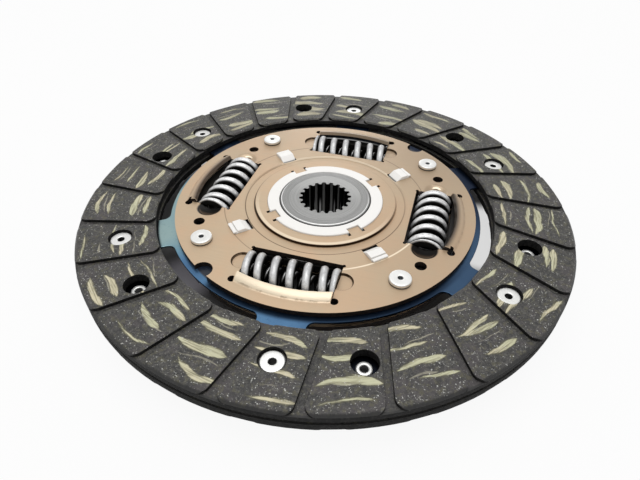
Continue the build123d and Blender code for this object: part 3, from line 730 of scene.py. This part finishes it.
def surface(name, points, wrap_u=False, wrap_v=False, closed_ends=False, outside=None,
            dark_rows=None):
    """Mesh of quads over a grid of points[u, v], in millimetres. A wrapped side joins its last row
    to its first. closed_ends caps the first and the last ring of a tube. outside is an attribute
    with one value for each v, and dark_rows marks the rows of quads that take a second finish."""
    rows, columns = points.shape[:2]
    index = np.arange(rows * columns).reshape(rows, columns)
    if wrap_u:
        index = np.vstack([index, index[:1]])
    if wrap_v:
        index = np.hstack([index, index[:, :1]])
    quads = np.stack([index[:-1, :-1], index[1:, :-1], index[1:, 1:], index[:-1, 1:]], axis=-1)
    faces = quads.reshape(-1, 4).tolist()
    if closed_ends:
        faces.append(index[0, :columns].tolist())
        faces.append(index[-1, :columns][::-1].tolist())
    mesh = bpy.data.meshes.new(name)
    mesh.from_pydata((points.reshape(-1, 3) * MM).tolist(), [], faces)
    mesh.shade_smooth()
    if outside is not None:
        marks = mesh.attributes.new("outside", "FLOAT", "POINT")
        marks.data.foreach_set("value", np.tile(outside, rows).astype(np.float32))
    if dark_rows is not None:
        second = np.repeat(np.asarray(dark_rows, np.int32), quads.shape[1])
        second = np.concatenate([second, np.zeros(len(faces) - len(second), np.int32)])
        mesh.polygons.foreach_set("material_index", second)
    return mesh


def in_scene(name, data):
    """A new object in the scene."""
    made = bpy.data.objects.new(name, data)
    bpy.context.scene.collection.objects.link(made)
    return made


def piece(name, meshes, finishes, body, node):
    """One object from several meshes, riding on its body in place of a CAD node."""
    made = in_scene(name, meshes[0])
    if len(meshes) > 1:
        joined = bmesh.new()
        for mesh in meshes:
            joined.from_mesh(mesh)
        for face in joined.faces:
            face.smooth = True
        joined.to_mesh(meshes[0])
        joined.free()
    for finish in finishes:
        made.data.materials.append(finish)
    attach(made, body)
    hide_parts(node)
    return made


def softened(node, finishes, width, body="disc"):
    """A merged copy of a CAD node in its place. Its flat faces are joined again, its upright faces
    take the second finish, where there is one, and a fine bevel of the given width, unless that
    is 0, rounds its sharp outer edges."""
    upright = 0.3  # a face whose normal rises less than this is a side
    merge_distance = 1e-6
    flat_angle = radians(0.4)
    bevel_angle = radians(38)
    sharp_angle = radians(30)
    form = bmesh.new()
    form.from_mesh(NODES[node].data)
    bmesh.ops.remove_doubles(form, verts=form.verts, dist=merge_distance)
    bmesh.ops.dissolve_limit(form, angle_limit=flat_angle, verts=form.verts, edges=form.edges)
    for face in form.faces:
        face.smooth = True
        face.material_index = int(len(finishes) > 1 and abs(face.normal.z) < upright)
    rounded = form.edges.layers.float.new("bevel_weight_edge")
    for edge in form.edges:
        edge[rounded] = float(edge.is_convex and edge.calc_face_angle(0) > bevel_angle)
    mesh = bpy.data.meshes.new(f"{node}_softened")
    form.to_mesh(mesh)
    form.free()
    mesh.set_sharp_from_angle(angle=sharp_angle)
    made = piece(f"{node}_softened", [mesh], finishes, body, node)
    if width:
        bevel = made.modifiers.new("edges", "BEVEL")
        bevel.width = width
        bevel.segments = 2
        bevel.limit_method = "WEIGHT"
        bevel.use_clamp_overlap = False
    shading = made.modifiers.new("shading", "WEIGHTED_NORMAL")
    shading.keep_sharp = True
    shading.weight = 80
    return made


def turn_about_z(points, angle):
    """Points turned about the hub's axis by an angle in degrees."""
    a = radians(angle)
    turn = np.array([[cos(a), -sin(a), 0], [sin(a), cos(a), 0], [0, 0, 1]])
    return points @ turn.T


def coil_points(outer_radius, wire_radius, length, turns, first_crest, hand, around=14):
    """Coil spring along Y on the origin: a circle of wire swept along a helix. The pitch is a
    little over the wire's own thickness in the closed end turns, even between them, and eased
    from one to the other. The helix starts a little outside the end planes, and the ends are
    ground flat by holding every point between them. The first crest is the number of turns from
    the low end to the first top of the coil. Also returns the cosine round the wire, 1 where it
    faces away from the coil's axis."""
    end_turns = 0.9
    easing_turns = 0.5
    steps_a_turn = 40
    closed_pitch = 2 * wire_radius * 1.02
    travel = length + 0.94 * wire_radius
    turn = np.linspace(0, turns, int(turns * steps_a_turn) + 1)
    rise = np.clip((np.minimum(turn, turns - turn) - end_turns) / easing_turns, 0, 1)
    rise = rise * rise * (3 - 2 * rise)
    step = np.diff(turn)
    middle = (rise[1:] + rise[:-1]) / 2
    open_pitch = (travel - closed_pitch * np.sum(step * (1 - middle))) / np.sum(step * middle)
    pitch = closed_pitch * (1 - middle) + open_pitch * middle
    along = np.concatenate([[0], np.cumsum(pitch * step)]) - travel / 2
    angle = hand * 2 * pi * (turn - first_crest) + pi / 2
    out = np.stack([np.cos(angle), np.zeros_like(angle), np.sin(angle)], axis=-1)
    centre = out * (outer_radius - wire_radius) + np.stack([0 * along, along, 0 * along], axis=-1)
    tangent = np.gradient(centre, axis=0)
    tangent /= np.linalg.norm(tangent, axis=1, keepdims=True)
    side = np.cross(tangent, out)
    around_angle = np.linspace(0, 2 * pi, around, endpoint=False)
    ring = (np.cos(around_angle)[None, :, None] * out[:, None, :]
            + np.sin(around_angle)[None, :, None] * side[:, None, :])
    points = centre[:, None, :] + wire_radius * ring
    points[..., 1] = np.clip(points[..., 1], -length / 2, length / 2)
    return points, np.cos(around_angle)


def lathe(profile, around):
    """A closed profile of (radius, height) points carried round the Z axis."""
    profile = np.array(profile, float)
    angle = np.linspace(0, 2 * pi, around, endpoint=False)
    radius = profile[:, 0][:, None]
    return np.stack([radius * np.cos(angle), radius * np.sin(angle),
                     np.repeat(profile[:, 1][:, None], around, axis=1)], axis=-1)


def arc(centre, radius, start, stop, count=6):
    """Points of a circular arc in a lathe profile, angles in degrees from the outward direction."""
    angle = np.radians(np.linspace(start, stop, count))
    return [(centre[0] + radius * np.cos(a), centre[1] + radius * np.sin(a)) for a in angle]


# ---------------------------------------------------------------- operators

def paint(node, material):
    """Gives a CAD node its finish."""
    made = NODES[node]
    made.data.materials.clear()
    made.data.materials.append(material)
    return made


class CLUTCH_DISC_OT_facings(bpy.types.Operator):
    """Finish both friction facings"""
    bl_idname = "clutch_disc.facings"
    bl_label = "Friction facings"

    def execute(self, context):
        finishes = [friction_lining(context.scene.disc_colours), lining_edge()]
        width = context.scene.disc_sizes.edge_round
        for node in ("front_facing", "rear_facing"):
            softened(node, finishes, width)
        return {"FINISHED"}


class CLUTCH_DISC_OT_cushion(bpy.types.Operator):
    """Finish the blued cushion disc and the disc spring"""
    bl_idname = "clutch_disc.cushion"
    bl_label = "Cushion disc"

    def execute(self, context):
        material = blued_steel()
        softened("cushion_disc", [material], CUSHION_ROUND)
        paint("disc_spring", material)
        return {"FINISHED"}


class CLUTCH_DISC_OT_plates(bpy.types.Operator):
    """Finish the cover plates"""
    bl_idname = "clutch_disc.plates"
    bl_label = "Cover plates"

    def execute(self, context):
        edge = sheet_edge_shade()
        colours = context.scene.disc_colours
        softened("front_plate", [bronze_plate(colours), edge], 0)
        softened("rear_plate", [deep_plate(colours), edge], 0)
        return {"FINISHED"}


class CLUTCH_DISC_OT_hub(bpy.types.Operator):
    """Finish the hub, its flange and the pressure washer"""
    bl_idname = "clutch_disc.hub"
    bl_label = "Hub and flange"

    def execute(self, context):
        softened("hub", [turned_steel()], HUB_ROUND, "hub_body")
        material = dark_steel()
        for node in ("hub_flange", "pressure_washer"):
            paint(node, material)
        return {"FINISHED"}


class CLUTCH_DISC_OT_plastics(bpy.types.Operator):
    """Finish the bushes, the friction ring and the friction washer"""
    bl_idname = "clutch_disc.plastics"
    bl_label = "Plastic pieces"

    def execute(self, context):
        material = white_nylon(context.scene.disc_colours)
        for node in ("hub_bush", "front_friction_ring"):
            softened(node, [material], PLASTIC_ROUND)
        paint("rear_bush", material)
        paint("rear_friction_washer", dark_plastic())
        return {"FINISHED"}


class CLUTCH_DISC_OT_springs(bpy.types.Operator):
    """Model the damper springs and the inner springs"""
    bl_idname = "clutch_disc.springs"
    bl_label = "Springs"

    def execute(self, context):
        sizes = context.scene.disc_sizes
        outer_wire = spring_wire("spring_wire", bright=0.80, low=0.40, high=0.85)
        inner_wire = spring_wire("inner_wire", bright=0.65, low=0.86, high=1.02)
        low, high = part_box("damper_spring_1")
        centre = (low + high) / 2 / MM
        length = (high.y - low.y) / MM
        outer_radius = (high.z - low.z) / 2 / MM
        low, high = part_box("inner_spring_1")
        inner_radius = (high.z - low.z) / 2 / MM
        for number, first_crest in enumerate(FIRST_CRESTS):
            coil = coil_points(outer_radius, sizes.spring_wire / MM / 2, length,
                               sizes.spring_turns, first_crest, hand=-1)
            self.place(f"damper_spring_{number + 1}", coil, centre, 90 * number, outer_wire)
        for number in range(WINDOW_COUNT // 2):
            coil = coil_points(inner_radius, sizes.inner_wire / MM / 2, length,
                               sizes.inner_turns, INNER_CREST, hand=1, around=10)
            self.place(f"inner_spring_{number + 1}", coil, centre, 90 + 180 * number, inner_wire)
        return {"FINISHED"}

    def place(self, node, coil, centre, angle, material):
        """Puts a coil on the damper's circle, where it shortens along its own axis."""
        points, outside = coil
        placed = turn_about_z(points + np.array([centre.x, 0, centre.z]), angle)
        mesh = surface(node, placed, wrap_v=True, closed_ends=True, outside=outside)
        made = piece(f"{node}_coil", [mesh], [material], "spring_set", node)
        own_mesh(made)


class CLUTCH_DISC_OT_fasteners(bpy.types.Operator):
    """Model the facing rivets and the stop pins"""
    bl_idname = "clutch_disc.fasteners"
    bl_label = "Rivets and pins"

    def execute(self, context):
        colours = context.scene.disc_colours
        finishes = [bright_zinc(colours)[0].material, bore_black()]
        self.rivets("front_facing_rivets", finishes, 1, FRONT_RIVET_ANGLE)
        self.rivets("rear_facing_rivets", finishes, -1, REAR_RIVET_ANGLE)
        self.pins(pin_zinc(colours))
        return {"FINISHED"}

    def rivets(self, node, finishes, side, start_angle):
        """Tubular rivets: a flat, round-edged head, a straight shank and a tail rolled over on
        itself, with a dark bore. Side is 1 with the heads towards +Z, and -1 the other way."""
        low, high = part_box(node)
        top = max(abs(low.z), abs(high.z)) / MM
        bottom = -(high.z - low.z) / MM + top
        head, shank, bore, tail = 4.0, 2.1, 1.3, 2.65  # radii
        head_thickness = 0.9
        mouth_round = 0.35
        head_round = 0.42
        tail_round = 0.45
        lip_round = 0.4
        under_head = top - head_thickness
        profile = [(bore, bottom + mouth_round)]
        profile += arc((bore + mouth_round, top - mouth_round), mouth_round, 180, 90)
        profile += arc((head - head_round, top - head_round), head_round, 90, 0)
        profile += [(head, under_head), (shank, under_head), (shank, 0)]
        profile += arc((tail - head_round, -tail_round), tail_round, 60, -90)
        profile += arc((bore + head_round, bottom + lip_round), lip_round, -90, -180)
        reach = np.array([radius for radius, height in profile])
        bored = np.maximum(reach, np.roll(reach, -1)) < bore + 0.05
        solid = lathe(profile, 36) * np.array([1, 1, side])
        if side < 0:
            solid, bored = solid[::-1], np.roll(bored[::-1], -1)
        meshes = []
        for number in range(RIVETS_A_SIDE):
            angle = start_angle + 360 / RIVETS_A_SIDE * number
            placed = turn_about_z(solid + np.array([RIVET_CIRCLE, 0, 0]), angle)
            meshes.append(surface(f"{node}_{number}", placed, wrap_u=True, wrap_v=True,
                                  dark_rows=bored))
        piece(f"{node}_turned", meshes, finishes, "disc", node)

    def pins(self, material):
        """Stop pins: a thick body with a flat, round-edged and dimpled head at each end, both
        halves alike."""
        low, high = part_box("stop_pins")
        top = high.z / MM
        middle = (high.z / MM + low.z / MM) / 2
        head, body, neck = 4.1, 3.5, 2.5  # radii
        head_thickness = 1.7
        head_round = 0.4
        dimple_round = 0.3
        half = [(0.001, top - 0.9), (0.85, top - 0.8)]
        half += arc((1.25, top - dimple_round), dimple_round, 180, 90, 4)
        half += arc((head - head_round, top - head_round), head_round, 90, 0)
        half += [(head, top - head_thickness), (neck, top - head_thickness), (neck, 0), (body, 0)]
        mirrored = [(radius, 2 * middle - height) for radius, height in reversed(half)]
        solid = lathe((half + mirrored)[::-1], 40)
        meshes = []
        for number in range(WINDOW_COUNT):
            placed = turn_about_z(solid + np.array([PIN_CIRCLE, 0, 0]), 45 + 90 * number)
            meshes.append(surface(f"stop_pin_{number}", placed, wrap_v=True, closed_ends=True))
        piece("stop_pins_turned", meshes, [material], "disc", "stop_pins")


class CLUTCH_DISC_OT_stage(bpy.types.Operator):
    """Lay the floor, light it and stand the camera"""
    bl_idname = "clutch_disc.stage"
    bl_label = "Stage"

    def execute(self, context):
        self.floor()
        self.lights(context)
        self.camera(context)
        return {"FINISHED"}

    def floor(self):
        """A flat square at the level of the disc's lowest point."""
        side = 3000.0
        ends = np.array([-side / 2, side / 2])
        u, v = np.meshgrid(ends, ends, indexing="ij")
        points = np.stack([u, v, np.full_like(u, CAD_LOW[2] / MM)], axis=-1)
        made = in_scene("floor", surface("floor", points))
        made.data.materials.append(floor_paper())

    def lights(self, context):
        """White surroundings, a soft lamp overhead and a weak one behind."""
        world = bpy.data.worlds.new("studio")
        world.use_nodes = True
        background = world.node_tree.nodes["Background"]
        background.inputs["Color"].default_value = (1, 1, 1, 1)
        background.inputs["Strength"].default_value = 0.80
        context.scene.world = world
        self.lamp("overhead", place=(-0.04, -0.02, 0.90), aim=(0, 0, 0), size=0.80, power=4.2)
        self.lamp("back", place=(-0.30, 1.15, 0.36), aim=(0, 0.05, 0), size=0.40, power=1.3)

    def lamp(self, name, place, aim, size, power):
        """A round lamp, its place, aim and size in metres and its power in watts."""
        lamp = bpy.data.lights.new(name, "AREA")
        lamp.shape = "DISK"
        lamp.size = size
        lamp.energy = power
        made = in_scene(name, lamp)
        made.location = place
        made.rotation_euler = (Vector(aim) - Vector(place)).to_track_quat("-Z", "Y").to_euler()

    def camera(self, context):
        """Close to the disc, so that its near rim looms. The aim is where the view's centre line
        meets the disc's middle plane, and the camera leans by the roll about that line."""
        azimuth, elevation, roll = radians(15.5), radians(37.355), radians(0.384)
        distance = 209.07
        focal_pixels = 482.9
        aim = Vector((4.40, -22.61, 0)) * MM
        place = Vector((sin(azimuth) * cos(elevation), -cos(azimuth) * cos(elevation),
                        sin(elevation))) * distance * MM
        lens = bpy.data.cameras.new("camera")
        lens.sensor_width = 36
        lens.lens = focal_pixels / FRAME_WIDTH * lens.sensor_width
        lens.clip_start = 0.005
        made = in_scene("camera", lens)
        made.rotation_mode = "QUATERNION"
        made.location = place
        level = (aim - place).to_track_quat("-Z", "Y")
        made.rotation_quaternion = level @ Quaternion((0, 0, 1), roll)
        context.scene.camera = made
        context.scene.view_settings.view_transform = "Standard"


class CLUTCH_DISC_PT_panel(bpy.types.Panel):
    """Sidebar panel that lists the operators"""
    bl_label = "Clutch Disc"
    bl_idname = "CLUTCH_DISC_PT_panel"
    bl_space_type = "VIEW_3D"
    bl_region_type = "UI"
    bl_category = "Clutch Disc"

    def draw(self, context):
        for group in (context.scene.disc_sizes, context.scene.disc_colours):
            for name in group.__annotations__:
                self.layout.prop(group, name)
        for operator in OPERATORS:
            self.layout.operator(operator.bl_idname)


OPERATORS = (CLUTCH_DISC_OT_stage, CLUTCH_DISC_OT_facings, CLUTCH_DISC_OT_cushion,
             CLUTCH_DISC_OT_plates, CLUTCH_DISC_OT_hub, CLUTCH_DISC_OT_plastics,
             CLUTCH_DISC_OT_fasteners, CLUTCH_DISC_OT_springs)
CLASSES = (DiscSizes, DiscColours, *OPERATORS, CLUTCH_DISC_PT_panel)


def register():
    for made in CLASSES:
        bpy.utils.register_class(made)
    bpy.types.Scene.disc_sizes = bpy.props.PointerProperty(type=DiscSizes)
    bpy.types.Scene.disc_colours = bpy.props.PointerProperty(type=DiscColours)


def unregister():
    del bpy.types.Scene.disc_colours
    del bpy.types.Scene.disc_sizes
    for made in reversed(CLASSES):
        bpy.utils.unregister_class(made)


def main():
    register()
    for operator in OPERATORS:
        group, name = operator.bl_idname.split(".")
        getattr(getattr(bpy.ops, group), name)()


if __name__ == "__main__":
    main()
